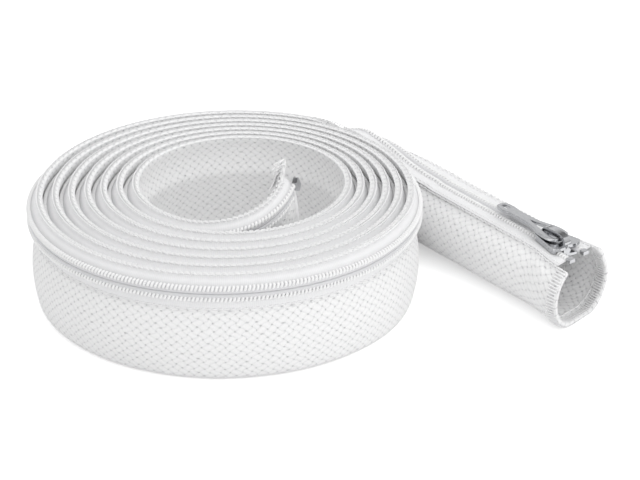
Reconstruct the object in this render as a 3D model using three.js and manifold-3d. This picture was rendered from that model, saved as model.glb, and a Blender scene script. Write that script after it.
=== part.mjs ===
// Braided cable sleeve with a coil zip, flattened and wound into a roll that stands on its edge.
// Millimetres, +Z up. The roll's axis is vertical, and the tail leaves the roll along +X.
import * as THREE from "three";
import { mergeVertices } from "three/addons/utils/BufferGeometryUtils.js";
import Module from "manifold-3d";

const wasm = await Module();
wasm.setup();

// Sleeve wall
const SLEEVE_DIAMETER = 30;
const WALL = 0.9;
const HEM_WALL = 1.7;
const HEM_LENGTH = 3;

// Roll, wound inwards from the tail
const ROLL_RADIUS = 78.9;
const TURN_PITCH = 5.6;
const TURN_COUNT = 6.79;
const TURN_DRIFT = new THREE.Vector2(-0.6, 1.25);
const STEPS_PER_TURN = 19;

// Flattened sleeve between its neighbours
const TURN_GAP = 0.6;
const SEAM_HEIGHT = 29.5;
const ZIP_HEIGHT = 37.5;
const BOW_DEPTH = 2.3;
const FOOT_HALF_WIDTH = 0.7;
const OUTER_SHARES = [0, 0.28, 0.52, 0.78];

// Tail, from the mouth to the roll
const TAIL_LENGTH = 106;
const MOUTH_WIDTH = 32;
const TAIL_WIDTH = 30.5;
const STRAIGHT_LENGTH = 80;
const CLOSING_LENGTH = 58;
const ZIP_TURN_LENGTH = 66;
const MOUTH_SKEW = 0.22;
const SKEW_LENGTH = 30;
const TAIL_STEPS = 5;
const CLOSING_STEPS = 13;

// Free inner end, sprung open and up
const INNER_END_LENGTH = 60;
const INNER_END_WIDTH = 9;
const INNER_END_LIFT = 12;
const INNER_END_LEAN = 8;

// Zip chain, measured across the chain from its centre
const CLEARANCE = 0.3;
const COIL_HALF_WIDTH = 3;
const COIL_CREST = 1.95;
const COIL_HEIGHT = 1.6;
const COIL_MIDDLE_HEIGHT = 0.9;
const TAPE_THICKNESS = 0.6;
const TAPE_WIDTH = 4;
const FLAT_HALF_WIDTH = 7.4;
const FLAT_BLEND = 6;
const PART_START = 22;
const PART_END = 5;
const PART_STEPS = 4;
const PART_WIDTH = 3;
const COIL_END = 7;

// Slider
const SLIDER_PLACE = 16;
const SLIDER_LENGTH = 16;
const PLATE_THICKNESS = 1.2;
const FLANGE_THICKNESS = 1.1;
const POST_LENGTH = 3;
const CROWN_LENGTH = 14;
const CROWN_WIDTH = 3;
const CROWN_THICKNESS = 1.1;
const CROWN_OPENING = 2.6;

// Pull
const PULL_LENGTH = 37;
const PULL_THICKNESS = 1.3;
const RING_LENGTH = 21;
const RING_WIDTH = 10.4;
const RING_RIM = 2.1;
const SHANK_WIDTH = 4.6;
const TIP_WIDTH = 6;
const TIP_HOLE = new THREE.Vector2(3.4, 2);
const BAR_INSET = 2;
const BAR_WIDTH = 1.2;

// Stops
const STOP_LENGTH = 2.4;
const BOTTOM_STOP_LENGTH = 3;
const BOTTOM_STOP_GAP = 1.3;

const perimeter = Math.PI * (SLEEVE_DIAMETER - WALL);
const slitHalf = COIL_HALF_WIDTH + TAPE_WIDTH + 2 * CLEARANCE;
const tapeInner = COIL_HALF_WIDTH + CLEARANCE;
const tapeOuter = tapeInner + TAPE_WIDTH;
const coilBottom = -TAPE_THICKNESS / 2;
const spiralPitch = 2 * Math.PI;
const rollLength = TURN_COUNT * spiralPitch * (ROLL_RADIUS - (TURN_PITCH * TURN_COUNT) / 2);
const sleeveLength = TAIL_LENGTH + rollLength;

const clamp = THREE.MathUtils.clamp;
const lerp = THREE.MathUtils.lerp;
const smooth = (value) => THREE.MathUtils.smoothstep(value, 0, 1);

// Angle of the spiral around the roll's axis after a number of turns.
const turnAngle = (turns) => Math.PI / 2 + turns * spiralPitch;

// Turns wound at a distance from the mouth: the spiral's length is a quadratic of its turns.
function turnsAt(distance) {
  const wound = Math.max(distance - TAIL_LENGTH, 0) / spiralPitch;
  return (ROLL_RADIUS - Math.sqrt(ROLL_RADIUS ** 2 - 2 * TURN_PITCH * wound)) / TURN_PITCH;
}

// Distance from the mouth after a number of turns.
function distanceAt(turns) {
  return TAIL_LENGTH + spiralPitch * turns * (ROLL_RADIUS - (TURN_PITCH * turns) / 2);
}

// Width of the flattened sleeve that fills the local pitch of the turns.
function flatWidth(turns) {
  const angle = turnAngle(turns);
  const drift = TURN_DRIFT.x * Math.cos(angle) + TURN_DRIFT.y * Math.sin(angle);
  return TURN_PITCH - drift - TURN_GAP - COIL_HEIGHT + WALL / 2;
}

// Width of the sleeve: open at the mouth, closing evenly along the tail, flat in the roll.
function tubeWidth(distance) {
  const slope = (TAIL_WIDTH - MOUTH_WIDTH) / STRAIGHT_LENGTH;
  if (distance <= STRAIGHT_LENGTH) {
    return MOUTH_WIDTH + slope * distance;
  }
  const flat = flatWidth(turnsAt(distance));
  const u = (distance - STRAIGHT_LENGTH) / CLOSING_LENGTH;
  if (u < 1) {
    const start = 1 - 3 * u ** 2 + 2 * u ** 3;
    const pull = u * (1 - u) ** 2 * slope * CLOSING_LENGTH;
    return start * TAIL_WIDTH + pull + (1 - start) * flat;
  }
  return lerp(flat, INNER_END_WIDTH, innerEnd(distance) ** 2);
}

// How far the free inner end has sprung, from 0 in the roll to 1 at its edge.
function innerEnd(distance) {
  return clamp((distance - sleeveLength + INNER_END_LENGTH) / INNER_END_LENGTH, 0, 1);
}

// One station of the sleeve: where its section stands, how it faces and how open it is.
function station(distance) {
  const turns = turnsAt(distance);
  const part = PART_WIDTH * smooth((PART_START - distance) / (PART_START - PART_END));
  const closed = tubeWidth(distance);
  const width = closed + part;
  const flat = flatWidth(turns);
  const end = innerEnd(distance);
  const around = perimeter + 2 * part;
  const sprawl = (around - 2 * (width - WALL)) / (2 * Math.PI - 4);
  const radius = Math.min((width - WALL) / 2, sprawl);
  const level = width - WALL - 2 * radius;
  const straight = around / 2 - Math.PI * radius - level;
  const opening = clamp((width - flat) / (TAIL_WIDTH - flat), 0, 1);
  const zipTurn = smooth((distance - STRAIGHT_LENGTH) / ZIP_TURN_LENGTH);
  const flatZipDrop = (perimeter + WALL) / 2 - ZIP_HEIGHT - (Math.PI / 2 - 1) * radius;
  const angle = turnAngle(turns);
  const outward = new THREE.Vector2(Math.cos(angle), Math.sin(angle));
  const forward = new THREE.Vector2(outward.y, -outward.x);
  const centre = TURN_DRIFT.clone().multiplyScalar(turns);
  const side = end > 0 ? -1 : 1;
  const reach = ROLL_RADIUS - TURN_PITCH * turns + (side * (closed - flat)) / 2;
  centre.addScaledVector(outward, reach - INNER_END_LEAN * end ** 1.5);
  centre.addScaledVector(forward, Math.max(TAIL_LENGTH - distance, 0));
  const skew = MOUTH_SKEW * (1 - smooth(distance / SKEW_LENGTH));
  return {
    centre,
    skew,
    across: outward.clone().addScaledVector(forward, -skew),
    around,
    radius,
    level,
    straight,
    opening: end > 0 ? 0 : opening,
    bow: BOW_DEPTH * (1 - opening),
    lift: INNER_END_LIFT * end ** 2,
    zip: zipTurn * flatZipDrop,
    part,
    wall: HEM_WALL - (HEM_WALL - WALL) * smooth(Math.min(distance, sleeveLength - distance) / HEM_LENGTH),
  };
}

// Point of the tube's mid-wall, by arc length from the top, down the outer face first: round
// corners joined by straight sides, which are upright in the roll and level where the tail sprawls.
function stadium(place, arc) {
  const { radius, level, straight, around } = place;
  const half = around / 2;
  const wrapped = THREE.MathUtils.euclideanModulo(arc + half, around) - half;
  const side = wrapped < 0 ? -1 : 1;
  const along = Math.abs(wrapped);
  const quarter = (Math.PI / 2) * radius;
  const low = WALL / 2 + radius;
  const high = low + straight;
  if (along < level / 2) {
    return new THREE.Vector2(side * along, high + radius);
  }
  if (along < level / 2 + quarter) {
    const turn = (along - level / 2) / radius;
    return new THREE.Vector2(side * (level / 2 + radius * Math.sin(turn)), high + radius * Math.cos(turn));
  }
  if (along < level / 2 + quarter + straight) {
    return new THREE.Vector2(side * (level / 2 + radius), high - along + level / 2 + quarter);
  }
  if (along < level / 2 + 2 * quarter + straight) {
    const turn = (along - level / 2 - quarter - straight) / radius;
    return new THREE.Vector2(side * (level / 2 + radius * Math.cos(turn)), low - radius * Math.sin(turn));
  }
  return new THREE.Vector2(side * (half - along), WALL / 2);
}

// Mid-wall point by arc length across the zip: the stiff tapes keep the tube flat beside the chain,
// and the seam draws the flattened tube in, so that it bulges above and below it.
function midWall(place, across) {
  const point = stadium(place, place.zip + across);
  const fade = 1 - smooth((Math.abs(across) - FLAT_HALF_WIDTH - place.part) / FLAT_BLEND);
  const onChain = stadium(place, place.zip);
  const beside = stadium(place, place.zip + 0.01);
  const tangent = beside.sub(onChain).normalize();
  const straightPoint = onChain.addScaledVector(tangent, across);
  point.lerp(straightPoint, fade * place.opening);
  const lowBulge = SEAM_HEIGHT / 2;
  const overSeam = (point.y - ZIP_HEIGHT) / (ZIP_HEIGHT - SEAM_HEIGHT);
  const underSeam = (point.y - lowBulge) / (SEAM_HEIGHT - lowBulge);
  const reach = point.y > SEAM_HEIGHT ? overSeam : underSeam;
  point.x -= place.bow * reach ** 2;
  point.y += place.lift;
  return point;
}

// Point at a height over the mid-wall, in the part's space.
function wallPoint(place, across, height) {
  const point = midWall(place, across);
  const ahead = midWall(place, across + 0.05);
  const behind = midWall(place, across - 0.05);
  const normal = new THREE.Vector2(behind.y - ahead.y, ahead.x - behind.x).normalize();
  point.addScaledVector(normal, height);
  const flat = place.centre.clone().addScaledVector(place.across, point.x);
  return new THREE.Vector3(flat.x, flat.y, Math.max(point.y, place.lift));
}

// Distances of the sections: short steps where the chain parts, even steps along the rest of the
// tail, and even angles in the roll.
function sections(from, to) {
  const distances = [];
  for (let step = 0; step < PART_STEPS; step += 1) {
    distances.push(PART_END + (step * (PART_START - PART_END)) / PART_STEPS);
  }
  for (let step = 0; step < TAIL_STEPS; step += 1) {
    distances.push(PART_START + (step * (STRAIGHT_LENGTH - PART_START)) / TAIL_STEPS);
  }
  for (let step = 0; step < CLOSING_STEPS; step += 1) {
    distances.push(STRAIGHT_LENGTH + (step * CLOSING_LENGTH) / CLOSING_STEPS);
  }
  const flatFrom = turnsAt(STRAIGHT_LENGTH + CLOSING_LENGTH) * STEPS_PER_TURN;
  for (let step = Math.floor(flatFrom); step < TURN_COUNT * STEPS_PER_TURN; step += 1) {
    distances.push(distanceAt(step / STEPS_PER_TURN));
  }
  distances.push(sleeveLength - COIL_END);
  distances.sort((a, b) => a - b);
  return [from, ...distances.filter((at) => at > from + 1 && at < to - 1), to];
}

// Solid between an outer and an inner row of points that run through every section.
function loft(rings) {
  const rowLength = rings[0].outer.length;
  const ringLength = 2 * rowLength;
  const positions = [];
  for (const { outer, inner } of rings) {
    for (const point of [...outer, ...inner.slice().reverse()]) {
      positions.push(point.x, point.y, point.z);
    }
  }
  const index = [];
  for (let ring = 0; ring < rings.length - 1; ring += 1) {
    for (let side = 0; side < ringLength; side += 1) {
      const next = (side + 1) % ringLength;
      const a = ring * ringLength + side;
      const b = ring * ringLength + next;
      index.push(a, b, a + ringLength, b, b + ringLength, a + ringLength);
    }
  }
  for (const [base, flip] of [[0, false], [(rings.length - 1) * ringLength, true]]) {
    for (let side = 0; side < rowLength - 1; side += 1) {
      const a = base + side;
      const b = base + side + 1;
      const c = base + ringLength - 1 - side;
      const d = base + ringLength - 2 - side;
      index.push(...(flip ? [a, b, c, b, d, c] : [a, c, b, b, c, d]));
    }
  }
  const geometry = new THREE.BufferGeometry();
  geometry.setAttribute("position", new THREE.Float32BufferAttribute(positions, 3));
  geometry.setIndex(index);
  geometry.computeVertexNormals();
  return geometry;
}

// Places across the sleeve's wall, from one edge of the slit round the tube to the other.
function wallPlaces(place) {
  const edge = slitHalf + place.part;
  const half = place.around / 2 - place.zip;
  const outerArc = half - edge;
  const innerArc = place.around - edge - half;
  const turnIn = (Math.PI / 2 - 1) * place.radius;
  const top = place.zip > edge ? place.zip - edge : innerArc * 0.045;
  const innerHeights = [7, SEAM_HEIGHT / 2, SEAM_HEIGHT, ZIP_HEIGHT - 2.2, ZIP_HEIGHT + 2.2];
  const topShare = (innerArc - top) / (place.around / 2);
  return [
    ...OUTER_SHARES.map((share) => edge + share * outerArc),
    half - FOOT_HALF_WIDTH,
    half + FOOT_HALF_WIDTH,
    ...innerHeights.map((height) => half + (height + turnIn) * topShare),
    half + innerArc - top - 1.3,
    half + innerArc - top,
    half + innerArc,
  ];
}

// The braided wall: a slit tube that morphs from the round mouth to the flat roll. The edge that it
// stands on is pressed flat.
function braidedSleeve() {
  const rings = sections(0, sleeveLength).map((distance) => {
    const place = station(distance);
    const across = wallPlaces(place);
    const outer = across.map((at) => wallPoint(place, at, place.wall / 2));
    const inner = across.map((at) => wallPoint(place, at, -place.wall / 2));
    for (const foot of [OUTER_SHARES.length, OUTER_SHARES.length + 1]) {
      outer[foot].z = place.lift;
      inner[foot].z = place.lift + place.wall;
    }
    return { outer, inner };
  });
  return loft(rings);
}

// A strip along the chain, whose section is given by a function of the place.
function strip(from, to, profile) {
  const rings = sections(from, to).map((distance) => {
    const place = station(distance);
    const { outer, inner } = profile(place);
    return {
      outer: outer.map(([across, height]) => wallPoint(place, across, height)),
      inner: inner.map(([across, height]) => wallPoint(place, across, height)),
    };
  });
  return loft(rings);
}

// A woven tape: side is 1 under the chain in the roll and -1 over it.
function zipTape(side) {
  return strip(0, sleeveLength, (place) => {
    const edges = [tapeInner + place.part, tapeOuter + place.part];
    const ordered = side > 0 ? edges : edges.map((edge) => -edge).reverse();
    return {
      outer: ordered.map((across) => [across, TAPE_THICKNESS / 2]),
      inner: ordered.map((across) => [across, -TAPE_THICKNESS / 2]),
    };
  });
}

// A coil: a low middle where the loops hook together, and a crest over the tape.
function zipCoil(side) {
  return strip(PART_END, sleeveLength - COIL_END, (place) => {
    const shift = (across) => side * (across + place.part);
    const middle = shift(CLEARANCE / 2);
    const crest = shift(COIL_CREST);
    const edge = shift(COIL_HALF_WIDTH);
    const outer = [[middle, COIL_MIDDLE_HEIGHT], [crest, COIL_HEIGHT], [edge, 0]];
    const inner = [[middle, coilBottom], [crest, coilBottom], [edge, coilBottom]];
    return side > 0 ? { outer, inner } : { outer: outer.reverse(), inner: inner.reverse() };
  });
}

// Local frame on the chain: x towards the roll, z away from the sleeve.
function chainFrame(distance) {
  const reach = 4;
  const at = wallPoint(station(distance), 0, 0);
  const ahead = wallPoint(station(distance + reach), 0, 0);
  const behind = wallPoint(station(distance - reach), 0, 0);
  const along = ahead.clone().sub(behind).normalize();
  const across = wallPoint(station(distance), 1, 0).sub(wallPoint(station(distance), -1, 0));
  const up = new THREE.Vector3().crossVectors(across, along).normalize();
  if (up.dot(wallPoint(station(distance), 0, 1).sub(at)) < 0) {
    up.negate();
  }
  const sideways = new THREE.Vector3().crossVectors(up, along);
  return new THREE.Matrix4().makeBasis(along, sideways, up).setPosition(at);
}

function toSolid(geometry) {
  const bare = geometry.clone();
  bare.deleteAttribute("normal");
  bare.deleteAttribute("uv");
  const merged = mergeVertices(bare, 1e-4);
  const mesh = new wasm.Mesh({
    numProp: 3,
    vertProperties: merged.attributes.position.array,
    triVerts: Uint32Array.from(merged.index.array),
  });
  return new wasm.Manifold(mesh);
}

function toGeometry(solid) {
  const { vertProperties, triVerts } = solid.getMesh();
  const geometry = new THREE.BufferGeometry();
  geometry.setAttribute("position", new THREE.BufferAttribute(vertProperties, 3));
  geometry.setIndex(new THREE.BufferAttribute(triVerts, 1));
  geometry.computeVertexNormals();
  return geometry;
}

// Plan outline extruded from one height to another.
function slab(shape, bottom, top, curveSegments = 5) {
  const geometry = new THREE.ExtrudeGeometry(shape, {
    depth: top - bottom,
    bevelEnabled: false,
    curveSegments,
  });
  return geometry.translate(0, 0, bottom);
}

// Half widths of the slider's channel at its closed end and at its open end.
const channelClosed = COIL_HALF_WIDTH + CLEARANCE;
const partAtOpenEnd = station(SLIDER_PLACE - SLIDER_LENGTH / 2).part;
const channelOpen = COIL_HALF_WIDTH + partAtOpenEnd + CLEARANCE;
const sliderClosed = channelClosed + FLANGE_THICKNESS;
const sliderOpen = channelOpen + FLANGE_THICKNESS;
const plateBottom = COIL_HEIGHT + CLEARANCE;
const plateTop = plateBottom + PLATE_THICKNESS;
const underTape = -TAPE_THICKNESS / 2 - CLEARANCE;

// Shield outline of the slider's plates: narrow where the chain is closed, two lobes where it parts.
function plateShape() {
  const end = SLIDER_LENGTH / 2;
  const notch = 1.2;
  const shape = new THREE.Shape();
  shape.moveTo(end - 1.5, sliderClosed);
  shape.quadraticCurveTo(end, sliderClosed, end, sliderClosed - 1.8);
  shape.lineTo(end, 1.8 - sliderClosed);
  shape.quadraticCurveTo(end, -sliderClosed, end - 1.5, -sliderClosed);
  shape.lineTo(2.5 - end, -sliderOpen);
  shape.quadraticCurveTo(-end, -sliderOpen, -end, -sliderOpen / 2);
  shape.quadraticCurveTo(-end, -notch, notch - end, 0);
  shape.quadraticCurveTo(-end, notch, -end, sliderOpen / 2);
  shape.quadraticCurveTo(-end, sliderOpen, 2.5 - end, sliderOpen);
  shape.closePath();
  return shape;
}

// Side wall between the top plate and the tape's slot.
function flangeShape(side) {
  const end = SLIDER_LENGTH / 2;
  const shape = new THREE.Shape();
  shape.moveTo(end - 1.5, side * sliderClosed);
  shape.lineTo(end - 0.6, side * channelClosed);
  shape.lineTo(0.4 - end + 1, side * channelOpen);
  shape.lineTo(2.5 - end, side * sliderOpen);
  shape.closePath();
  return shape;
}

// Wedge that parts the two coils at the open end.
function postShape() {
  const back = 0.9 - SLIDER_LENGTH / 2;
  const half = partAtOpenEnd - 2 * CLEARANCE;
  const shape = new THREE.Shape();
  shape.moveTo(back, -half);
  shape.quadraticCurveTo(back - 0.5, 0, back, half);
  shape.lineTo(back + POST_LENGTH, 0.15);
  shape.lineTo(back + POST_LENGTH, -0.15);
  shape.closePath();
  return shape;
}

// Arch over the top plate that the pull hangs on.
function crown() {
  const half = CROWN_LENGTH / 2;
  const foot = plateTop - 0.4;
  const inner = half - CROWN_THICKNESS;
  const shape = new THREE.Shape();
  shape.moveTo(half, foot);
  shape.bezierCurveTo(half, plateTop + 2.6, half - 1.6, crownTop, 0.5, crownTop);
  shape.bezierCurveTo(1.6 - half, crownTop, -half, plateTop + 2.6, -half, foot);
  shape.lineTo(-inner, foot);
  shape.bezierCurveTo(-inner, plateTop + 1.9, 2.2 - inner, crownTop - CROWN_THICKNESS, 0.5,
    crownTop - CROWN_THICKNESS);
  shape.bezierCurveTo(inner - 2.2, crownTop - CROWN_THICKNESS, inner, plateTop + 1.9, inner, foot);
  shape.closePath();
  const arch = slab(shape, -CROWN_WIDTH / 2, CROWN_WIDTH / 2, 5);
  return arch.rotateX(Math.PI / 2);
}

const crownTop = plateTop + CROWN_OPENING + CROWN_THICKNESS;

// Slider in its local frame: two plates joined by the post, flanges and the crown.
function sliderBody() {
  const solids = [
    slab(plateShape(), plateBottom, plateTop),
    slab(plateShape(), underTape - PLATE_THICKNESS, underTape),
    slab(flangeShape(1), -underTape, plateBottom + 0.2),
    slab(flangeShape(-1), -underTape, plateBottom + 0.2),
    slab(postShape(), underTape - 0.2, plateBottom + 0.2),
    crown(),
  ].map(toSolid);
  return toGeometry(solids.reduce((whole, solid) => whole.add(solid)));
}

// The pull's bar lies under the crown, at the end of the ring.
const pullPivot = new THREE.Vector3(
  CROWN_THICKNESS + BAR_INSET + BAR_WIDTH / 2 - CROWN_LENGTH / 2,
  0,
  plateTop + CLEARANCE + Math.hypot(BAR_WIDTH, PULL_THICKNESS) / 2,
);

// Flat pull, from the bar at its origin: oval ring, shank and a tip with a small hole.
function pullTab() {
  const ringEnd = RING_LENGTH - RING_RIM / 2;
  const tip = PULL_LENGTH - RING_RIM / 2;
  const back = -BAR_WIDTH / 2;
  const half = RING_WIDTH / 2;
  const shank = SHANK_WIDTH / 2;
  const shape = new THREE.Shape();
  shape.moveTo(back, -CROWN_WIDTH / 2);
  shape.bezierCurveTo(back, -half, 3, -half, 6, -half);
  shape.bezierCurveTo(11, -half, 12, -shank, ringEnd + 1, -shank);
  shape.lineTo(tip - 8, -shank);
  shape.quadraticCurveTo(tip - 7, -TIP_WIDTH / 2, tip - 5, -TIP_WIDTH / 2);
  shape.bezierCurveTo(tip, -TIP_WIDTH / 2, tip, -TIP_WIDTH / 3, tip, 0);
  shape.bezierCurveTo(tip, TIP_WIDTH / 3, tip, TIP_WIDTH / 2, tip - 5, TIP_WIDTH / 2);
  shape.quadraticCurveTo(tip - 7, TIP_WIDTH / 2, tip - 8, shank);
  shape.lineTo(ringEnd + 1, shank);
  shape.bezierCurveTo(12, shank, 11, half, 6, half);
  shape.bezierCurveTo(3, half, back, half, back, CROWN_WIDTH / 2);
  shape.closePath();
  const hole = new THREE.Path();
  const holeHalf = half - RING_RIM;
  const holeEnd = ringEnd - 2;
  const holeStart = BAR_WIDTH / 2;
  hole.moveTo(holeStart, -holeHalf + 0.8);
  hole.quadraticCurveTo(holeStart, -holeHalf, holeStart + 1.5, -holeHalf);
  hole.bezierCurveTo(9, -holeHalf, 12, -1.2, holeEnd, 0);
  hole.bezierCurveTo(12, 1.2, 9, holeHalf, holeStart + 1.5, holeHalf);
  hole.quadraticCurveTo(holeStart, holeHalf, holeStart, holeHalf - 0.8);
  hole.closePath();
  const window = new THREE.Path();
  const windowEnd = tip - 1.6;
  window.moveTo(windowEnd, -TIP_HOLE.y / 2);
  window.lineTo(windowEnd, TIP_HOLE.y / 2);
  window.lineTo(windowEnd - TIP_HOLE.x, TIP_HOLE.y / 2);
  window.lineTo(windowEnd - TIP_HOLE.x, -TIP_HOLE.y / 2);
  window.closePath();
  shape.holes.push(hole, window);
  return slab(shape, -PULL_THICKNESS / 2, PULL_THICKNESS / 2, 4);
}

// Small block clamped on the end of a coil, with rounded corners.
function stopBlock(length, width, height) {
  const shape = new THREE.Shape();
  const round = 0.6;
  shape.moveTo(-length / 2, -width / 2);
  shape.lineTo(length / 2 - round, -width / 2);
  shape.quadraticCurveTo(length / 2, -width / 2, length / 2, round - width / 2);
  shape.lineTo(length / 2, width / 2 - round);
  shape.quadraticCurveTo(length / 2, width / 2, length / 2 - round, width / 2);
  shape.lineTo(-length / 2, width / 2);
  shape.closePath();
  return slab(shape, coilBottom, coilBottom + height, 3);
}

// Materials
const braid = new THREE.MeshStandardMaterial({ color: 0xe6e7e8, roughness: 0.9, metalness: 0 });
const tape = new THREE.MeshStandardMaterial({ color: 0xededee, roughness: 0.85, metalness: 0 });
const nylon = new THREE.MeshStandardMaterial({ color: 0xf3f3f2, roughness: 0.45, metalness: 0 });
const nickel = new THREE.MeshStandardMaterial({ color: 0xb9bcc0, roughness: 0.25, metalness: 1 });

const sleeve = new THREE.Group();

function addMesh(name, geometry, material, parent = sleeve) {
  const mesh = new THREE.Mesh(geometry, material);
  mesh.name = name;
  parent.add(mesh);
  return mesh;
}

// A group whose children are placed in the chain's local frame.
function chainGroup(distance) {
  const group = new THREE.Group();
  group.applyMatrix4(chainFrame(distance));
  sleeve.add(group);
  return group;
}

addMesh("braided_sleeve", braidedSleeve(), braid);
addMesh("zip_tape_lower", zipTape(1), tape);
addMesh("zip_tape_upper", zipTape(-1), tape);
addMesh("zip_coil_lower", zipCoil(1), nylon);
addMesh("zip_coil_upper", zipCoil(-1), nylon);

const slider = chainGroup(SLIDER_PLACE);
addMesh("slider_body", sliderBody(), nickel, slider);
addMesh("pull_tab", pullTab(), nickel, slider).position.copy(pullPivot);

const topStops = chainGroup(PART_END - CLEARANCE - STOP_LENGTH / 2);
const stopWidth = COIL_HALF_WIDTH - CLEARANCE / 2;
const coilStart = station(PART_END);
for (const [name, side] of [["top_stop_lower", -1], ["top_stop_upper", 1]]) {
  const stop = addMesh(name, stopBlock(STOP_LENGTH, stopWidth, COIL_HEIGHT), nickel, topStops);
  const sideways = side * (CLEARANCE / 2 + stopWidth / 2 + coilStart.part);
  stop.position.set(-sideways * coilStart.skew, sideways, 0);
}

const bottomStops = chainGroup(sleeveLength - COIL_END + BOTTOM_STOP_GAP + BOTTOM_STOP_LENGTH / 2);
addMesh("bottom_stop", stopBlock(BOTTOM_STOP_LENGTH, 2 * COIL_HALF_WIDTH, COIL_HEIGHT + 0.4), nickel,
  bottomStops);

// The origin is the middle of the whole part's base.
const box = new THREE.Box3().setFromObject(sleeve);
const middle = box.getCenter(new THREE.Vector3());
sleeve.position.set(-middle.x, -middle.y, -box.min.z);

export default sleeve;
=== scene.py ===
"""Braided cable sleeve with a coil zip, wound into a roll on its edge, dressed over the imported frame."""
import math

import bmesh
import bpy
import numpy as np
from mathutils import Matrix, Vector


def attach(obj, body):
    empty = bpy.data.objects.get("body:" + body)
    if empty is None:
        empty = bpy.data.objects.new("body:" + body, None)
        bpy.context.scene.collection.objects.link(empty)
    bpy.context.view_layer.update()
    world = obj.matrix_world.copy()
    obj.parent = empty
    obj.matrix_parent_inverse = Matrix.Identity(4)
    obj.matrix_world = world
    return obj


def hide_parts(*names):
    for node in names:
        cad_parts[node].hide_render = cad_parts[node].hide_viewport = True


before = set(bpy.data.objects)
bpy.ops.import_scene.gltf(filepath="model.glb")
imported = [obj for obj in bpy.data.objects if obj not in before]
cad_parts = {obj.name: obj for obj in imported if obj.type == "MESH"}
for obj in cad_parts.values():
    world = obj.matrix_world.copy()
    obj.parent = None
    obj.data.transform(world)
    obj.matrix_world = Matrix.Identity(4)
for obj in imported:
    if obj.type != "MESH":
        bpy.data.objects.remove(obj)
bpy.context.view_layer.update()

MM = 0.001  # metres in a millimetre

# Sleeve and roll, in millimetres, as the part's solids have them
SLEEVE_DIAMETER = 30.0
WALL = 0.9
HEM_WALL = 1.7
HEM_LENGTH = 3.0
ROLL_RADIUS = 78.9
TURN_PITCH = 5.6
TURN_COUNT = 6.79
TURN_DRIFT = (-0.6, 1.25)
TURN_GAP = 0.6
SEAM_HEIGHT = 29.5
ZIP_HEIGHT = 37.5
BOW_DEPTH = 2.3
TAIL_LENGTH = 106.0
MOUTH_WIDTH = 32.0
TAIL_WIDTH = 30.5
STRAIGHT_LENGTH = 80.0
CLOSING_LENGTH = 58.0
ZIP_TURN_LENGTH = 66.0
MOUTH_SKEW = 0.22
SKEW_LENGTH = 30.0
INNER_END_LENGTH = 60.0
INNER_END_WIDTH = 9.0
INNER_END_LIFT = 12.0
INNER_END_RISE = 6.0
INNER_END_LEAN = 8.0
INNER_END_TIP = 5.0
CLEARANCE = 0.3
COIL_HALF_WIDTH = 3.0
COIL_HEIGHT = 1.6
TAPE_THICKNESS = 0.6
TAPE_WIDTH = 4.0
FLAT_HALF_WIDTH = 7.4
FLAT_BLEND = 6.0
PART_START = 22.0
PART_END = 5.0
PART_WIDTH = 3.0
COIL_END = 7.0

# Mesh steps along the sleeve, in millimetres, and points round half of its wall
FINE_STEP = 1.6
COARSE_STEP = 5.0
WALL_FINE_LENGTH = 160
ZIP_FINE_LENGTH = 150
INNER_END_STEPS = 40
WALL_POINTS = 54
PATH_STEP = 2.0

# Cloth surface, in millimetres: braid diamonds, waves, hem and lobes
BRAID_LENGTH = 3.9
BRAID_HEIGHT = 3.2
TAPE_RIB_PITCH = 0.7
TAPE_WARP_PITCH = 0.5
WAVE_HEIGHT = 0.12
WAVE_LENGTHS = (9.0, 23.0)
WAVE_SLANT = 6
HEM_ROLL = 0.35
HEM_ROLL_PLACE = 4
HEM_ROLL_WIDTH = 2.5
LOBE_PUFF = 1.1
LOBE_PLACE = (12, 6)
LOBE_SIZE = (4.5, 4)

# Thread and teeth, in millimetres
TOOTH_WIRE_RADIUS = 0.55
TOOTH_PITCH = 1.5
STITCH_PITCH = 2.3
STITCH_RADIUS = 0.26
OVERLOCK_PITCH = 1.15
OVERLOCK_DEPTH = 4.6
OVERLOCK_RADIUS = 0.32
SEAM_STITCH_SIZE = 1.9
HEM_STITCH_SIZE = 1.6
HEM_STITCH_PITCH = 1.9
HEM_STITCH_RISE = 0.1
OVERLOCK_PLACE = 0.35
OUTSIDE_ROWS = (3.4, 7.2)
INSIDE_ROW = 6.4
ROW_MARGIN = 0.4
ROW_POINTS = 160
SIDE_PROBE = 0.2
OVER_PROBE = 0.4
BACK_PROBE = 0.5

# Metal: bevels in millimetres, angles in degrees, and where the bottom stop lies past the coil's end
SLIDER_BEVEL = 0.18
PULL_BEVEL = 0.22
STOP_BEVEL = 0.12
BEVEL_ANGLE = 35
FLAT_ANGLE = 2
STOP_REACH = (-1, 5)

# Camera: where it stands from the roll, and the photograph's frame
CAMERA_AZIMUTH = -37.6
CAMERA_ELEVATION = 26.3
CAMERA_DISTANCE = 900.0
CAMERA_AIM = (14.2, 20.2)
FOCAL_PIXELS = 2228.0
FRAME_WIDTH = 640

# Light: watts of the lamps, strength of the room, and the floor's place and half width in metres
KEY_POWER = 2.0
TOP_POWER = 3.0
ROOM_STRENGTH = 0.81
FLOOR_LIFT = 0.45
FLOOR_HALF_WIDTH = 6.0
FLOOR_DROP = 0.0002

PERIMETER = math.pi * (SLEEVE_DIAMETER - WALL)
SLIT_HALF = COIL_HALF_WIDTH + TAPE_WIDTH + 2 * CLEARANCE
ROLL_LENGTH = TURN_COUNT * 2 * math.pi * (ROLL_RADIUS - TURN_PITCH * TURN_COUNT / 2)
SLEEVE_LENGTH = TAIL_LENGTH + ROLL_LENGTH
# The roll's centre in the part's frame, whose origin is the middle of the whole base
ROLL_CENTRE = np.array([-14.9308, -16.5239, 0])
TAPE_SEAM_PLACE = COIL_HALF_WIDTH + TAPE_WIDTH - 0.05
WALL_SEAM_PLACE = SLIT_HALF + 1.4


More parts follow.
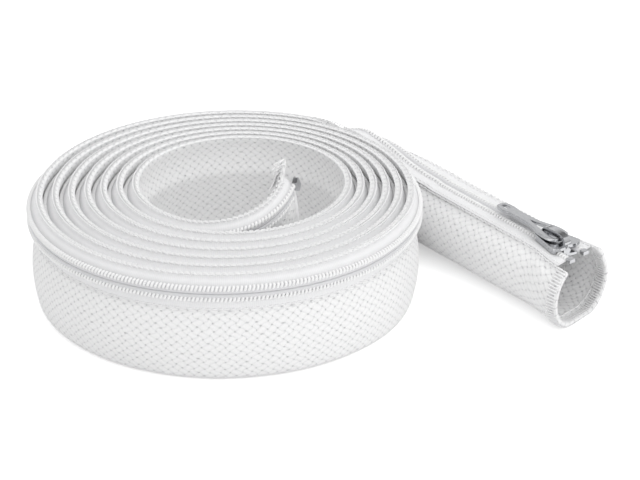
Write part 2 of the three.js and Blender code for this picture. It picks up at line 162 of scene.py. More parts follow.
def linear(hex_colour):
    """sRGB hex to the linear colour that shaders take."""
    channels = [int(hex_colour[i:i + 2], 16) / 255 for i in (1, 3, 5)]
    return tuple(c / 12.92 if c <= 0.04045 else ((c + 0.055) / 1.055) ** 2.4 for c in channels) + (1.0,)


def smooth(value):
    """A rise from 0 to 1 that starts and ends level."""
    t = np.clip(value, 0, 1)
    return t * t * (3 - 2 * t)


# The sweep: stations along the sleeve, and points on its wall


def turns_at(distance):
    """Turns wound at a distance from the mouth."""
    wound = np.maximum(distance - TAIL_LENGTH, 0) / (2 * math.pi)
    return (ROLL_RADIUS - np.sqrt(ROLL_RADIUS ** 2 - 2 * TURN_PITCH * wound)) / TURN_PITCH


def flat_width(turns):
    """Width of the flattened sleeve in a turn: what the spiral leaves, less the chain and a gap."""
    angle = math.pi / 2 + turns * 2 * math.pi
    drift = TURN_DRIFT[0] * np.cos(angle) + TURN_DRIFT[1] * np.sin(angle)
    return TURN_PITCH - drift - TURN_GAP - COIL_HEIGHT + WALL / 2


def inner_end(distance):
    """0 in the roll, and up to 1 at the sleeve's inner end."""
    return np.clip((distance - SLEEVE_LENGTH + INNER_END_LENGTH) / INNER_END_LENGTH, 0, 1)


def tube_width(distance):
    """Width of the section: round in the tail, closing until it is flat, and a little open at its end."""
    slope = (TAIL_WIDTH - MOUTH_WIDTH) / STRAIGHT_LENGTH
    flat = flat_width(turns_at(distance))
    u = np.clip((distance - STRAIGHT_LENGTH) / CLOSING_LENGTH, 0, 1)
    start = 1 - 3 * u ** 2 + 2 * u ** 3
    closing = start * TAIL_WIDTH + u * (1 - u) ** 2 * slope * CLOSING_LENGTH + (1 - start) * flat
    end = inner_end(distance) ** 2
    width = np.where(u < 1, closing, flat + (INNER_END_WIDTH - flat) * end)
    return np.where(distance <= STRAIGHT_LENGTH, MOUTH_WIDTH + slope * distance, width)


class Stations:
    """Sections of the sleeve at some distances from its mouth, all in arrays.

    raised is 1 where the inner end stands up as the cloth does, and 0 where it lies as its solid does.
    """

    def __init__(self, distance, raised=1.0):
        distance = np.asarray(distance, float)[:, None]
        turns = turns_at(distance)
        end = inner_end(distance)
        flat = flat_width(turns)
        closed = tube_width(distance)
        self.distance = distance
        self.part = PART_WIDTH * smooth((PART_START - distance) / (PART_START - PART_END))
        width = closed + self.part
        self.around = PERIMETER + 2 * self.part
        sprawl = (self.around - 2 * (width - WALL)) / (2 * math.pi - 4)
        self.radius = np.minimum((width - WALL) / 2, sprawl)
        self.level = width - WALL - 2 * self.radius
        self.straight = self.around / 2 - math.pi * self.radius - self.level
        opening = np.clip((width - flat) / (TAIL_WIDTH - flat), 0, 1)
        self.opening = np.where(end > 0, 0, opening)
        self.bow = BOW_DEPTH * (1 - opening)
        self.lift = INNER_END_LIFT * end ** 2 + raised * INNER_END_RISE * end ** 3
        drop = (PERIMETER + WALL) / 2 - ZIP_HEIGHT - (math.pi / 2 - 1) * self.radius
        self.zip = smooth((distance - STRAIGHT_LENGTH) / ZIP_TURN_LENGTH) * drop
        hem = smooth(np.minimum(distance, SLEEVE_LENGTH - distance) / HEM_LENGTH)
        self.wall = HEM_WALL - (HEM_WALL - WALL) * hem
        angle = math.pi / 2 + turns * 2 * math.pi
        outward = np.stack([np.cos(angle), np.sin(angle)], -1)
        forward = np.stack([outward[..., 1], -outward[..., 0]], -1)
        side = np.where(end > 0, -1.0, 1.0)
        reach = ROLL_RADIUS - TURN_PITCH * turns + side * (closed - flat) / 2
        reach = reach - INNER_END_LEAN * end ** 1.5 - raised * INNER_END_TIP * end ** 2
        centre = np.array(TURN_DRIFT) * turns[..., None] + outward * reach[..., None]
        self.centre = centre + forward * np.maximum(TAIL_LENGTH - distance, 0)[..., None]
        skew = MOUTH_SKEW * (1 - smooth(distance / SKEW_LENGTH))
        self.across = outward - forward * skew[..., None]

    def stadium(self, arc):
        """Mid-wall point by arc length from the top, down the outer face."""
        half = self.around / 2
        wrapped = np.mod(arc + half, self.around) - half
        side = np.where(wrapped < 0, -1.0, 1.0)
        along = np.abs(wrapped)
        quarter = math.pi / 2 * self.radius
        low = WALL / 2 + self.radius
        high = low + self.straight
        corner = self.level / 2
        turn_high = (along - corner) / self.radius
        turn_low = (along - corner - quarter - self.straight) / self.radius
        steps = [
            along < corner,
            along < corner + quarter,
            along < corner + quarter + self.straight,
            along < corner + 2 * quarter + self.straight,
        ]
        x = np.select(steps, [
            along,
            corner + self.radius * np.sin(turn_high),
            corner + self.radius + 0 * along,
            corner + self.radius * np.cos(turn_low),
        ], half - along)
        y = np.select(steps, [
            high + self.radius + 0 * along,
            high + self.radius * np.cos(turn_high),
            high - along + corner + quarter,
            low - self.radius * np.sin(turn_low),
        ], WALL / 2 + 0 * along)
        return side * x, y

    def mid_wall(self, across):
        """The tapes hold the tube flat beside the chain, and the seam draws it in where it is pressed."""
        x, y = self.stadium(self.zip + across)
        fade = 1 - smooth((np.abs(across) - FLAT_HALF_WIDTH - self.part) / FLAT_BLEND)
        zip_x, zip_y = self.stadium(self.zip)
        beside_x, beside_y = self.stadium(self.zip + 0.01)
        length = np.hypot(beside_x - zip_x, beside_y - zip_y)
        blend = fade * self.opening
        x = x + (zip_x + (beside_x - zip_x) / length * across - x) * blend
        y = y + (zip_y + (beside_y - zip_y) / length * across - y) * blend
        bulge = SEAM_HEIGHT / 2
        over_seam = (y - ZIP_HEIGHT) / (ZIP_HEIGHT - SEAM_HEIGHT)
        under_seam = (y - bulge) / (SEAM_HEIGHT - bulge)
        pull = np.where(y > SEAM_HEIGHT, over_seam, under_seam)
        return x - self.bow * pull ** 2, y + self.lift

    def points(self, across, height):
        """Points at a height over the mid-wall, one row for each station, in the part's millimetres."""
        across = across + 0 * self.distance
        x, y = self.mid_wall(across)
        ahead_x, ahead_y = self.mid_wall(across + 0.05)
        behind_x, behind_y = self.mid_wall(across - 0.05)
        normal_x, normal_y = behind_y - ahead_y, ahead_x - behind_x
        size = np.hypot(normal_x, normal_y)
        x = x + height * normal_x / size
        y = y + height * normal_y / size
        flat = self.centre + self.across * x[..., None]
        lowest = self.lift + 0 * y
        return np.concatenate([flat, np.maximum(y, lowest)[..., None]], -1)


# Making objects


def link(name, data):
    """An object at the origin, shown in the scene."""
    thing = bpy.data.objects.new(name, data)
    bpy.context.scene.collection.objects.link(thing)
    return thing


def mesh_piece(name, vertices, faces, material, uv):
    """A finished mesh object whose vertices are already where they belong."""
    mesh = bpy.data.meshes.new(name)
    mesh.from_pydata([tuple(v) for v in vertices], [], [tuple(f) for f in faces])
    mesh.polygons.foreach_set("use_smooth", [True] * len(mesh.polygons))
    layer = mesh.uv_layers.new(name="cloth")
    corners = np.empty(len(mesh.loops), int)
    mesh.loops.foreach_get("vertex_index", corners)
    layer.data.foreach_set("uv", uv[corners].astype(np.float32).ravel())
    mesh.materials.append(material)
    mesh.validate()
    mesh.update()
    return link(name, mesh)


def swept(name, stations, profile_across, profile_height, material):
    """A skin through the stations: one row of points for each, closed with a face at both ends."""
    rows = stations.points(profile_across, profile_height) + ROLL_CENTRE
    count, around = rows.shape[:2]
    index = np.arange(count * around).reshape(count, around)
    beside = np.roll(index, -1, axis=1)
    quads = np.stack([index[:-1], index[1:], beside[1:], beside[:-1]], -1).reshape(-1, 4)
    faces = quads.tolist() + [index[0].tolist(), index[-1][::-1].tolist()]
    along = stations.distance + 0 * rows[..., 0]
    across = profile_across + 0 * rows[..., 0]
    uv = np.stack([across, along], -1).reshape(-1, 2)
    piece = mesh_piece(name, rows.reshape(-1, 3) * MM, faces, material, uv)
    shell = bmesh.new()
    shell.from_mesh(piece.data)
    bmesh.ops.triangulate(shell, faces=[f for f in shell.faces if len(f.verts) > 4])
    bmesh.ops.recalc_face_normals(shell, faces=shell.faces)
    shell.to_mesh(piece.data)
    shell.free()
    return piece


# Materials


def add(tree, kind, links=(), **settings):
    """One node, with its settings, and for its sockets a value, a socket, or a node's first output."""
    node = tree.nodes.new(kind)
    for key, value in settings.items():
        setattr(node, key, value)
    for socket, source in dict(links).items():
        if isinstance(source, bpy.types.Node):
            source = source.outputs[0]
        if isinstance(source, bpy.types.NodeSocket):
            tree.links.new(source, node.inputs[socket])
        else:
            node.inputs[socket].default_value = source
    return node


def surface(name):
    """A new material, its node tree and its shader."""
    material = bpy.data.materials.new(name)
    material.use_nodes = True
    tree = material.node_tree
    return material, tree, tree.nodes["Principled BSDF"]


def ridges(tree, value, pitch=1.0):
    """Rounded ridges, one for each pitch of the value."""
    phase = add(tree, "ShaderNodeMath", {0: value, 1: math.pi / pitch}, operation="MULTIPLY")
    wave = add(tree, "ShaderNodeMath", {0: phase}, operation="SINE")
    return add(tree, "ShaderNodeMath", {0: wave}, operation="ABSOLUTE")


def blended(tree, first, first_share, second, second_share):
    """The sum of a share of each."""
    one = add(tree, "ShaderNodeMath", {0: first, 1: first_share}, operation="MULTIPLY")
    other = add(tree, "ShaderNodeMath", {0: second, 1: second_share}, operation="MULTIPLY")
    return add(tree, "ShaderNodeMath", {0: one, 1: other}, operation="ADD")


def cloth_place(tree):
    """Place on the cloth in millimetres: across it, along it, and both."""
    uv = add(tree, "ShaderNodeUVMap", uv_map="cloth")
    parts = add(tree, "ShaderNodeSeparateXYZ", {0: uv})
    return parts.outputs[0], parts.outputs[1], uv


def braided_polyester():
    """Braided textured polyester: flat yarns cross on the bias, which gives the wall a soft, grainy light;
    the yarns' crowns are painted lighter and the grooves and pinholes darker, as painted highlight and shade.
    """
    material, tree, shader = surface("braided_polyester")
    across, along, uv = cloth_place(tree)
    uneven = add(tree, "ShaderNodeTexNoise", {"Vector": uv, "Scale": 0.3, "Detail": 3.0})
    wander = add(tree, "ShaderNodeMath", {0: uneven, 1: 0.9}, operation="MULTIPLY")
    repeats = add(tree, "ShaderNodeMath", {0: along, 1: BRAID_LENGTH}, operation="DIVIDE")
    lengthwise = add(tree, "ShaderNodeMath", {0: repeats, 1: wander}, operation="ADD")
    crosswise = add(tree, "ShaderNodeMath", {0: across, 1: BRAID_HEIGHT}, operation="DIVIDE")
    leaning = add(tree, "ShaderNodeMath", {0: lengthwise, 1: crosswise}, operation="ADD")
    crossing = add(tree, "ShaderNodeMath", {0: lengthwise, 1: crosswise}, operation="SUBTRACT")
    leaning_yarn = ridges(tree, leaning)
    crossing_yarn = ridges(tree, crossing)
    # The yarns take turns on top, diamond by diamond
    leaning_row = add(tree, "ShaderNodeMath", {0: leaning}, operation="FLOOR")
    crossing_row = add(tree, "ShaderNodeMath", {0: crossing}, operation="FLOOR")
    rows = add(tree, "ShaderNodeMath", {0: leaning_row, 1: crossing_row}, operation="ADD")
    over = add(tree, "ShaderNodeMath", {0: rows, 1: 1.0}, operation="PINGPONG")
    yarn = add(tree, "ShaderNodeMix", {0: over, 2: leaning_yarn, 3: crossing_yarn})
    yarn = add(tree, "ShaderNodeMath", {0: yarn, 1: 0.6}, operation="POWER")
    # Pinholes stay open at the corners of the diamonds: they dent the relief, and their colour is painted
    # darker as shade
    gap = add(tree, "ShaderNodeMath", {0: leaning_yarn, 1: crossing_yarn}, operation="MAXIMUM")
    corner = add(tree, "ShaderNodeMapRange", {0: gap, 1: 0.12, 2: 0.5, 3: 1.0, 4: 0.0})
    depth = add(tree, "ShaderNodeMath", {0: uneven, 1: 1.7}, operation="MULTIPLY")
    pinhole_depth_and_shade = add(tree, "ShaderNodeMath", {0: corner, 1: depth}, operation="MULTIPLY")
    fibre = add(tree, "ShaderNodeTexNoise", {"Vector": uv, "Scale": 2.2, "Detail": 4.0})
    relief = blended(tree, yarn, 0.8, fibre, 0.5)
    relief = add(tree, "ShaderNodeMath", {0: relief, 1: pinhole_depth_and_shade}, operation="SUBTRACT")
    # Painted shade and highlight: the colour is lighter on the yarns' crowns and darker in the grooves
    # between them, with random fibre tone mixed in
    shade = blended(tree, yarn, 0.6, fibre, 0.6)
    tones = {0: shade, 6: linear("#e6e6e7"), 7: linear("#fcfcfc")}
    cloth = add(tree, "ShaderNodeMix", tones, data_type="RGBA").outputs[2]
    # Painted shade: the pinholes are darkened towards #cfcfd1
    tones = {0: pinhole_depth_and_shade, 6: cloth, 7: linear("#cfcfd1")}
    colour = add(tree, "ShaderNodeMix", tones, data_type="RGBA").outputs[2]
    bump = add(tree, "ShaderNodeBump", {"Strength": 0.75, "Distance": 0.00026, "Height": relief})
    tree.links.new(colour, shader.inputs["Base Color"])
    tree.links.new(bump.outputs[0], shader.inputs["Normal"])
    shader.inputs["Roughness"].default_value = 0.85
    shader.inputs["Sheen Weight"].default_value = 0.15
    shader.inputs["Sheen Roughness"].default_value = 0.5
    return material


def woven_tape():
    """Woven polyester zip tape: fine ribs across it, smoother and a shade brighter than the braid."""
    material, tree, shader = surface("woven_polyester_tape")
    across, along, uv = cloth_place(tree)
    ribs = ridges(tree, along, TAPE_RIB_PITCH)
    warps = ridges(tree, across, TAPE_WARP_PITCH)
    weave = add(tree, "ShaderNodeMath", {0: ribs, 1: warps}, operation="MULTIPLY")
    uneven = add(tree, "ShaderNodeTexNoise", {"Vector": uv, "Scale": 0.3, "Detail": 3.0})
    # Painted shade and highlight: the colour is lighter on the crowns of the ribs and warps and darker
    # between them, with random tone mixed in
    shade = blended(tree, weave, 0.5, uneven, 0.5)
    tones = {0: shade, 6: linear("#e9e9ea"), 7: linear("#fafafb")}
    colour = add(tree, "ShaderNodeMix", tones, data_type="RGBA").outputs[2]
    bump = add(tree, "ShaderNodeBump", {"Strength": 0.4, "Distance": 0.0001, "Height": weave})
    tree.links.new(colour, shader.inputs["Base Color"])
    tree.links.new(bump.outputs[0], shader.inputs["Normal"])
    shader.inputs["Roughness"].default_value = 0.8
    return material


def plain_finish(name, dark, light, roughness, scale, metallic=0.0, relief=0.00003):
    """A finish that varies a little in tone and height, at one scale in waves per metre."""
    material, tree, shader = surface(name)
    place = add(tree, "ShaderNodeTexCoord").outputs["Object"]
    noise = add(tree, "ShaderNodeTexNoise", {"Vector": place, "Scale": scale, "Detail": 2.0})
    tones = {0: noise, 6: linear(dark), 7: linear(light)}
    colour = add(tree, "ShaderNodeMix", tones, data_type="RGBA").outputs[2]
    tree.links.new(colour, shader.inputs["Base Color"])
    bump = add(tree, "ShaderNodeBump", {"Strength": 0.3, "Distance": relief, "Height": noise})
    tree.links.new(bump.outputs[0], shader.inputs["Normal"])
    dull = {0: noise, 3: roughness * 0.85, 4: roughness * 1.15}
    spread = add(tree, "ShaderNodeMapRange", dull)
    tree.links.new(spread.outputs[0], shader.inputs["Roughness"])
    shader.inputs["Metallic"].default_value = metallic
    return material


BRAID = braided_polyester()
TAPE = woven_tape()
# Extruded nylon monofilament: smooth and slightly bright, so each tooth catches a small light
NYLON = plain_finish("extruded_nylon", "#f4f4f4", "#fdfdfd", 0.35, 900)
# The filler cord between the teeth, painted a little greyer as the shade the teeth cast on it
NYLON_SHADE = plain_finish("nylon_core", "#d6d6d8", "#e2e2e4", 0.5, 900)
# Spun polyester sewing thread: matt and fuzzy
THREAD = plain_finish("spun_polyester_thread", "#f1f1f2", "#fcfcfc", 0.8, 2500, relief=0.00006)
# Nickel plated zinc, barrel polished: greyish mirror with softened edges
NICKEL = plain_finish("nickel_plated_zinc", "#b4b5b8", "#cbccce", 0.17, 700, metallic=1.0, relief=0.00001)

# Cloth: the wall, thick at both hems, and the two tapes


def stations_along(first, last, fine_length):
    """Stations from first to last, close together in the tail and the inner end."""
    near = np.arange(first, first + fine_length, FINE_STEP)
    far = np.arange(first + fine_length, last - INNER_END_LENGTH, COARSE_STEP)
    end = np.linspace(last - INNER_END_LENGTH, last, INNER_END_STEPS)
    return Stations(np.concatenate([near, far, end]))


def sleeve_wall():
    """The braided wall, from one side of the slit round to the other."""
    stations = stations_along(0, SLEEVE_LENGTH, WALL_FINE_LENGTH)
    share = np.linspace(0, 1, WALL_POINTS)
    edge = SLIT_HALF + stations.part
    outer = edge + (stations.around - 2 * edge) * share
    across = np.concatenate([outer, outer[:, ::-1]], 1)
    half_wall = stations.wall / 2
    # Slight waves in the cloth, deepest midway down the wall, nothing at its foot
    wave = WAVE_HEIGHT * np.sin(stations.distance / WAVE_LENGTHS[0])
    wave = wave * np.sin(stations.distance / WAVE_LENGTHS[1] + WAVE_SLANT * share)
    wave = wave * np.sin(math.pi * share) ** 2
    # The folded hem stands a little proud at both ends
    from_end = np.minimum(stations.distance, SLEEVE_LENGTH - stations.distance)
    wave = wave + HEM_ROLL * np.exp(-((from_end - HEM_ROLL_PLACE) / HEM_ROLL_WIDTH) ** 2)
    # Behind the hem the open zip's two lobes are puffed out
    from_edge = np.minimum(share, 1 - share) * stations.around
    lobe_along = np.exp(-((stations.distance - LOBE_PLACE[0]) / LOBE_SIZE[0]) ** 2)
    lobe_across = np.exp(-((from_edge - LOBE_PLACE[1]) / LOBE_SIZE[1]) ** 2)
    wave = wave + LOBE_PUFF * lobe_along * lobe_across
    height = np.concatenate([half_wall + wave, -half_wall + 0 * wave], 1)
    return swept("braided_wall", stations, across, height, BRAID)


def tape(name, side):
    """One zip tape, which goes on under the coil and into the wall's folded edge."""
    stations = stations_along(PART_END, SLEEVE_LENGTH - COIL_END, ZIP_FINE_LENGTH)
    inner = COIL_HALF_WIDTH - 2 * CLEARANCE
    outer = SLIT_HALF + 2 * CLEARANCE
    half = TAPE_THICKNESS / 2
    edge = 0.1
    upper = [inner, inner + edge, outer - edge, outer]
    profile = np.array(upper + upper[::-1])
    height = np.array([half - edge, half, half, half - edge, edge - half, -half, -half, edge - half])
    across = side * (profile[None] + stations.part)
    return swept(name, stations, across, height[None] + 0 * across, TAPE)


# Chain: each tooth is one turn of the coil, repeated along its path by a node tree


def guide_path(name, centre, aside, over):
    """Points joined by edges, each carrying the direction of its loop and of its upper side."""
    points = (centre + ROLL_CENTRE) * MM
    mesh = bpy.data.meshes.new(name)
    mesh.from_pydata([tuple(p) for p in points], [(i, i + 1) for i in range(len(points) - 1)], [])
    for label, vectors in (("aside", aside), ("over", over)):
        layer = mesh.attributes.new(label, "FLOAT_VECTOR", "POINT")
        layer.data.foreach_set("vector", vectors.astype(np.float32).ravel())
    return link(name, mesh)


def chain_path(name, distances, across, height):
    """A path along the zip, at some places across it."""
    stations = Stations(distances)
    centre = stations.points(across, height)[:, 0]
    aside = stations.points(across + SIDE_PROBE, height)[:, 0]
    over = stations.points(across, height + OVER_PROBE)[:, 0]
    return guide_path(name, centre, aside - centre, over - centre)


def loop_tree(name, corners):
    """Node tree: a wire bent at the given corners, in multiples of Size, repeated along a path."""
    tree = bpy.data.node_groups.new(name, "GeometryNodeTree")
    face = tree.interface
    face.new_socket("Path", in_out="INPUT", socket_type="NodeSocketGeometry")
    for label in ("Pitch", "Size", "Wire radius", "Turned"):
        face.new_socket(label, in_out="INPUT", socket_type="NodeSocketFloat")
    face.new_socket("Material", in_out="INPUT", socket_type="NodeSocketMaterial")
    face.new_socket("Loops", in_out="OUTPUT", socket_type="NodeSocketGeometry")
    given = add(tree, "NodeGroupInput").outputs
    path = add(tree, "GeometryNodeMeshToCurve", {"Mesh": given["Path"]})
    spaced = add(tree, "GeometryNodeResampleCurve", {"Curve": path, "Length": given["Pitch"]}, mode="LENGTH")
    joined = add(tree, "GeometryNodeJoinGeometry")
    for first, second in reversed(list(zip(corners[:-1], corners[1:]))):
        straight = add(tree, "GeometryNodeCurvePrimitiveLine", {"Start": first, "End": second})
        tree.links.new(straight.outputs[0], joined.inputs[0])
    lines = add(tree, "GeometryNodeCurveToMesh", {"Curve": joined.outputs[0]})
    merged = add(tree, "GeometryNodeMergeByDistance", {"Geometry": lines, "Distance": 0.0001})
    bent = add(tree, "GeometryNodeMeshToCurve", {"Mesh": merged})
    scale = add(tree, "ShaderNodeCombineXYZ", {axis: given["Size"] for axis in range(3)})
    sized = add(tree, "GeometryNodeTransform", {"Geometry": bent, "Scale": scale})
    round_wire = {"Resolution": 6, "Radius": given["Wire radius"]}
    section = add(tree, "GeometryNodeCurvePrimitiveCircle", round_wire)
    solid = {"Curve": sized, "Profile Curve": section, "Fill Caps": True}
    loop = add(tree, "GeometryNodeCurveToMesh", solid)
    rounded = add(tree, "GeometryNodeSetShadeSmooth", {"Geometry": loop})
    aside, over = (
        add(tree, "GeometryNodeInputNamedAttribute", {"Name": label}, data_type="FLOAT_VECTOR")
        for label in ("aside", "over")
    )
    axes = {0: over, 1: aside}
    turn = add(tree, "FunctionNodeAxesToRotation", axes, primary_axis="Z", secondary_axis="X")
    places = {"Points": spaced.outputs[0], "Instance": rounded, "Rotation": turn}
    placed = add(tree, "GeometryNodeInstanceOnPoints", places)
    lean = add(tree, "ShaderNodeCombineXYZ", {2: given["Turned"]})
    leaned = add(tree, "GeometryNodeRotateInstances", {"Instances": placed, "Rotation": lean})
    real = add(tree, "GeometryNodeRealizeInstances", {"Geometry": leaned})
    finished = add(tree, "GeometryNodeSetMaterial", {"Geometry": real, "Material": given["Material"]})
    add(tree, "NodeGroupOutput", {"Loops": finished})
    return tree


def repeated(name, path, tree, material, pitch, size, radius, turned=0.0):
    """The path's object with the tree's loops on it, turned into a plain mesh."""
    modifier = path.modifiers.new("loops", "NODES")
    modifier.node_group = tree
    values = {"Pitch": pitch * MM, "Size": size * MM, "Wire radius": radius * MM, "Turned": turned}
    for item in tree.interface.items_tree:
        if item.in_out == "INPUT" and item.name in values:
            modifier[item.identifier] = values[item.name]
        elif item.in_out == "INPUT" and item.name == "Material":
            modifier[item.identifier] = material
    shown = path.evaluated_get(bpy.context.evaluated_depsgraph_get())
    mesh = bpy.data.meshes.new_from_object(shown)
    mesh.name = name
    bpy.data.objects.remove(path)
    for label in ("aside", "over"):
        if label in mesh.attributes:
            mesh.attributes.remove(mesh.attributes[label])
    # Where the wall rests on the floor, the thread is pressed flat under it
    for vertex in mesh.vertices:
        vertex.co.z = max(vertex.co.z, 0.0)
    return link(name, mesh)


# One turn of the coil, from the tape's edge over its crest and down towards the middle of the chain
TOOTH_CORNERS = [
    (2.75, -0.2, -0.1), (2.75, -0.2, 0.6), (2.5, -0.1, 1.0),
    (2.0, 0.1, 1.1), (1.65, 0.25, 0.75), (1.4, 0.3, 0.2),
]
TOOTH = loop_tree("coil_turns", TOOTH_CORNERS)
# A lockstitch lies along the seam and dips at both ends
STITCH = loop_tree("lockstitches", [(0, -0.45, -0.25), (0, -0.3, 0.05), (0, 0.3, 0.05), (0, 0.45, -0.25)])
# An overlock thread goes over the raw edge, from the outer face to the inner one
OVERLOCK_CORNERS = [
    (1.0, 0, 0.12), (0.85, 0, 0.19), (0.45, 0, 0.19), (0.1, 0, 0.22), (-0.05, 0, 0.12),
    (-0.05, 0, -0.12), (0.1, 0, -0.2), (0.45, 0, -0.15), (0.85, 0, -0.12),
]
OVERLOCK = loop_tree("overlock_loops", OVERLOCK_CORNERS)


def coil(name, side):
    """A coil's teeth over its filler cord."""
    first = PART_END + side * TOOTH_PITCH / 4 + TOOTH_PITCH / 2
    distances = np.arange(first, SLEEVE_LENGTH - COIL_END - 0.5, PATH_STEP)
    part = Stations(distances).part
    path = chain_path(name + "_path", distances, side * part, 0.0)
    turned = 0.0 if side > 0 else math.pi
    teeth = repeated(name + "_teeth", path, TOOTH, NYLON, TOOTH_PITCH, 1.0, TOOTH_WIRE_RADIUS, turned)
    stations = stations_along(PART_END, SLEEVE_LENGTH - COIL_END, ZIP_FINE_LENGTH)
    profile = np.array([0.08, 0.4, 1.0, 1.6, 2.5, 2.8, 2.8, 0.08])
    height = np.array([0.55, 0.85, 0.95, 0.85, 0.6, 0.1, -0.25, -0.25])
    across = side * (profile[None] + stations.part)
    core = swept(name + "_core", stations, across, height[None] + 0 * across, NYLON_SHADE)
    return teeth, core


wall = sleeve_wall()
tape_lower = tape("tape_lower", 1)
tape_upper = tape("tape_upper", -1)
coil_lower = coil("coil_lower", 1)
coil_upper = coil("coil_upper", -1)


def seam(name, side, reach, first, last, height):
    """A lockstitch seam that runs along the zip."""
    distances = np.arange(first, last, PATH_STEP)
    part = Stations(distances).part
    path = chain_path(name + "_path", distances, side * (reach + part), height)
    return repeated(name, path, STITCH, THREAD, STITCH_PITCH, SEAM_STITCH_SIZE, STITCH_RADIUS)


seams = []
for side, label in ((1, "lower"), (-1, "upper")):
    on_tape, on_wall = TAPE_THICKNESS / 2, WALL / 2 + 0.05
    seams.append(seam("tape_seam_" + label, side, TAPE_SEAM_PLACE, 6, SLEEVE_LENGTH - 9, on_tape))
    seams.append(seam("wall_seam_" + label, side, WALL_SEAM_PLACE, 4, SLEEVE_LENGTH - 4, on_wall))


def round_path(name, distance, height):
    """A path round the wall at one distance from the mouth, whose loops point back along the sleeve."""
    station = Stations([distance])
    edge = (SLIT_HALF + station.part)[0, 0]
    last = station.around[0, 0] - edge - ROW_MARGIN
    arcs = np.linspace(edge + ROW_MARGIN, last, ROW_POINTS)[None]
    centre = station.points(arcs, height)[0]
    over = station.points(arcs, height + OVER_PROBE)[0]
    behind = distance + (BACK_PROBE if distance < SLEEVE_LENGTH / 2 else -BACK_PROBE)
    inward = Stations([behind]).points(arcs, height)[0]
    return guide_path(name, centre, inward - centre, over - centre)


def overlocked(name, distance):
    """Thread wrapped over the raw edge."""
    edge = round_path(name + "_path", distance, 0.0)
    return repeated(name, edge, OVERLOCK, THREAD, OVERLOCK_PITCH, OVERLOCK_DEPTH, OVERLOCK_RADIUS)


def hem_row(name, distance, height):
    """A row of stitches across the sleeve that holds the hem down."""
    row = round_path(name + "_path", distance, height)
    return repeated(name, row, STITCH, THREAD, HEM_STITCH_PITCH, HEM_STITCH_SIZE, STITCH_RADIUS, math.pi)


seams.append(overlocked("mouth_overlock", OVERLOCK_PLACE))
seams.append(overlocked("inner_end_overlock", SLEEVE_LENGTH - OVERLOCK_PLACE))
outer_face = WALL / 2 + HEM_STITCH_RISE
for label, distance, height in (
    ("mouth_row_near", OUTSIDE_ROWS[0], outer_face),
    ("mouth_row_far", OUTSIDE_ROWS[1], outer_face),
    ("mouth_row_inside", INSIDE_ROW, -outer_face),
    ("inner_row_near", SLEEVE_LENGTH - OUTSIDE_ROWS[0], outer_face),
):
    seams.append(hem_row(label, distance, height))

# Slider, pull and stops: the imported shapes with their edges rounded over


def rounded_metal(node, width):
    """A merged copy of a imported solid, with bevelled edges and level flats."""
    piece = link(node + "_polished", bpy.data.objects[node].data.copy())
    shape = bmesh.new()
    shape.from_mesh(piece.data)
    bmesh.ops.remove_doubles(shape, verts=shape.verts, dist=2e-6)
    flat = math.radians(FLAT_ANGLE)
    bmesh.ops.dissolve_limit(shape, angle_limit=flat, verts=shape.verts, edges=shape.edges)
    bmesh.ops.recalc_face_normals(shape, faces=shape.faces)
    shape.to_mesh(piece.data)
    shape.free()
    piece.data.materials.clear()
    piece.data.materials.append(NICKEL)
    piece.data.polygons.foreach_set("use_smooth", [True] * len(piece.data.polygons))
    bevel = piece.modifiers.new("edges", "BEVEL")
    bevel.width = width * MM
    bevel.segments = 2
    bevel.limit_method = "ANGLE"
    bevel.angle_limit = math.radians(BEVEL_ANGLE)
    even = piece.modifiers.new("flat_faces", "WEIGHTED_NORMAL")
    even.keep_sharp = True
    shown = piece.evaluated_get(bpy.context.evaluated_depsgraph_get())
    mesh = bpy.data.meshes.new_from_object(shown)
    piece.modifiers.clear()
    piece.data = mesh
    return piece


stop_nodes = ("top_stop_lower", "top_stop_upper", "bottom_stop")
slider = rounded_metal("slider_body", SLIDER_BEVEL)
pull = rounded_metal("pull_tab", PULL_BEVEL)
stops = [rounded_metal(node, STOP_BEVEL) for node in stop_nodes]


def chain_frame(raised):
    """Axes and middle of the chain where its bottom stop is clamped."""
    near, far = (SLEEVE_LENGTH - COIL_END + reach for reach in STOP_REACH)
    points = Stations([near, far], raised).points(np.array([[-1.0, 1.0]]), 0.0)
    along = points[1].mean(0) - points[0].mean(0)
    aside = points[1, 1] - points[1, 0]
    up = np.cross(along, aside)
    aside = np.cross(up, along)
    axes = np.stack([v / np.linalg.norm(v) for v in (along, aside, up)], 1)
    return axes, (points.reshape(-1, 3).mean(0) + ROLL_CENTRE) * MM


# The inner end stands a little higher than its solid, and the bottom stop goes up with it
packed_axes, packed_middle = chain_frame(0.0)
raised_axes, raised_middle = chain_frame(1.0)
turn = raised_axes @ packed_axes.T
for vertex in stops[-1].data.vertices:
    vertex.co = Vector(turn @ (np.array(vertex.co) - packed_middle) + raised_middle)

# Which body each piece moves with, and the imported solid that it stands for
sleeve_pieces = [wall, tape_lower, tape_upper, *coil_lower, *coil_upper, *seams, *stops]
for piece in sleeve_pieces:
    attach(piece, "sleeve")
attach(slider, "slider")
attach(pull, "pull")
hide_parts("braided_sleeve")
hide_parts("zip_tape_lower")
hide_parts("zip_tape_upper")
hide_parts("zip_coil_lower")
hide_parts("zip_coil_upper")
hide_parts("slider_body")
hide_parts("pull_tab")
for piece, node in zip(stops, stop_nodes):
    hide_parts(node)

# Floor, light and camera


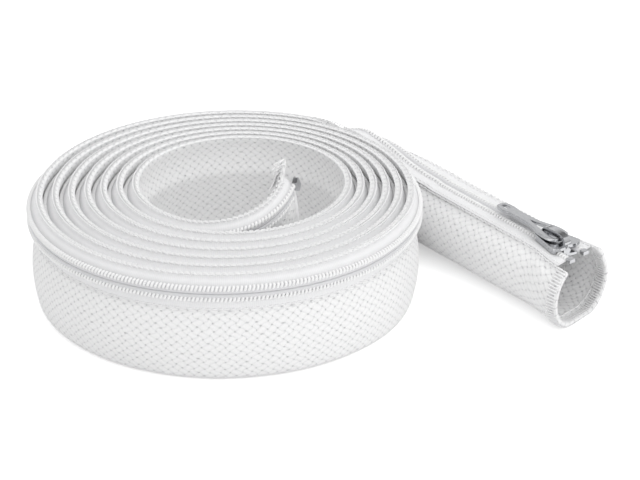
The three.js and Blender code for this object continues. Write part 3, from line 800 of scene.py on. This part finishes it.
def pale_floor():
    """A wide floor just under the sleeve's foot."""
    mesh = bpy.data.meshes.new("floor")
    size = FLOOR_HALF_WIDTH
    drop = -FLOOR_DROP
    corners = [(-size, -size, drop), (size, -size, drop), (size, size, drop), (-size, size, drop)]
    mesh.from_pydata(corners, [], [(0, 1, 2, 3)])
    material, tree, shader = surface("pale_studio_floor")
    shader.inputs["Base Color"].default_value = linear("#f2f2f2")
    shader.inputs["Roughness"].default_value = 1.0
    shader.inputs["Specular IOR Level"].default_value = 0.0
    path = add(tree, "ShaderNodeLightPath").outputs
    rays = {0: path["Is Camera Ray"], 1: path["Is Glossy Ray"]}
    seen = add(tree, "ShaderNodeMath", rays, operation="MAXIMUM")
    seen = add(tree, "ShaderNodeMath", {0: seen, 1: path["Is Transmission Ray"]}, operation="MAXIMUM")
    # The lens sees the floor raised to white, so that only the object's shadow darkens it
    lift = add(tree, "ShaderNodeEmission", {"Color": (1, 1, 1, 1), "Strength": FLOOR_LIFT})
    both = add(tree, "ShaderNodeAddShader", {0: shader.outputs[0], 1: lift})
    chosen = add(tree, "ShaderNodeMixShader", {0: seen, 1: shader.outputs[0], 2: both})
    tree.links.new(chosen.outputs[0], tree.nodes["Material Output"].inputs[0])
    mesh.materials.append(material)
    return link("floor", mesh)


floor = pale_floor()

world = bpy.data.worlds.new("soft_studio")
bpy.context.scene.world = world
world.use_nodes = True
sky = world.node_tree
base = sky.nodes["Background"]
base.inputs["Color"].default_value = (1, 1, 1, 1)
base.inputs["Strength"].default_value = ROOM_STRENGTH
path = add(sky, "ShaderNodeLightPath").outputs
white = add(sky, "ShaderNodeBackground", {"Color": (1, 1, 1, 1), "Strength": 1.0})
rays = {0: path["Is Camera Ray"], 1: path["Is Transmission Ray"]}
seen = add(sky, "ShaderNodeMath", rays, operation="MAXIMUM")
chosen = add(sky, "ShaderNodeMixShader", {0: seen, 1: base.outputs[0], 2: white})
# Polished metal sees the softboxes and the dark studio between them
toward_light = add(sky, "ShaderNodeTexCoord").outputs["Generated"]
patches = add(sky, "ShaderNodeTexNoise", {"Vector": toward_light, "Scale": 1.7, "Detail": 0.0})
studio = add(sky, "ShaderNodeMapRange", {0: patches, 1: 0.42, 2: 0.56, 3: 0.18, 4: 1.0})
reflected = add(sky, "ShaderNodeBackground", {"Color": (1, 1, 1, 1), "Strength": studio})
chosen = add(sky, "ShaderNodeMixShader", {0: path["Is Glossy Ray"], 1: chosen, 2: reflected})
sky.links.new(chosen.outputs[0], sky.nodes["World Output"].inputs[0])


def lamp(name, place, target, size, power):
    """A round softbox aimed at a point."""
    light = bpy.data.lights.new(name, "AREA")
    light.shape = "DISK"
    light.size = size
    light.energy = power
    holder = link(name, light)
    holder.location = place
    holder.rotation_euler = (Vector(target) - Vector(place)).to_track_quat("-Z", "Y").to_euler()


target = (0, 0, 0.02)
lamp("key_softbox", (0.95, 0.05, 0.55), target, 0.7, KEY_POWER)
lamp("top_softbox", (-0.1, 0.3, 1.3), target, 1.0, TOP_POWER)

azimuth = math.radians(CAMERA_AZIMUTH)
elevation = math.radians(CAMERA_ELEVATION)
level = math.cos(elevation)
toward = Vector((level * math.cos(azimuth), level * math.sin(azimuth), math.sin(elevation)))
right = (-toward).cross(Vector((0, 0, 1))).normalized()
up = right.cross(-toward)
lens = bpy.data.cameras.new("camera")
lens.sensor_width = 36
lens.lens = FOCAL_PIXELS * 36 / FRAME_WIDTH
camera = link("camera", lens)
camera.location = (right * CAMERA_AIM[0] + up * CAMERA_AIM[1] + toward * CAMERA_DISTANCE) * MM
camera.rotation_euler = (-toward).to_track_quat("-Z", "Y").to_euler()
bpy.context.scene.camera = camera
bpy.context.scene.view_settings.view_transform = "Standard"


bpy.context.view_layer.update()
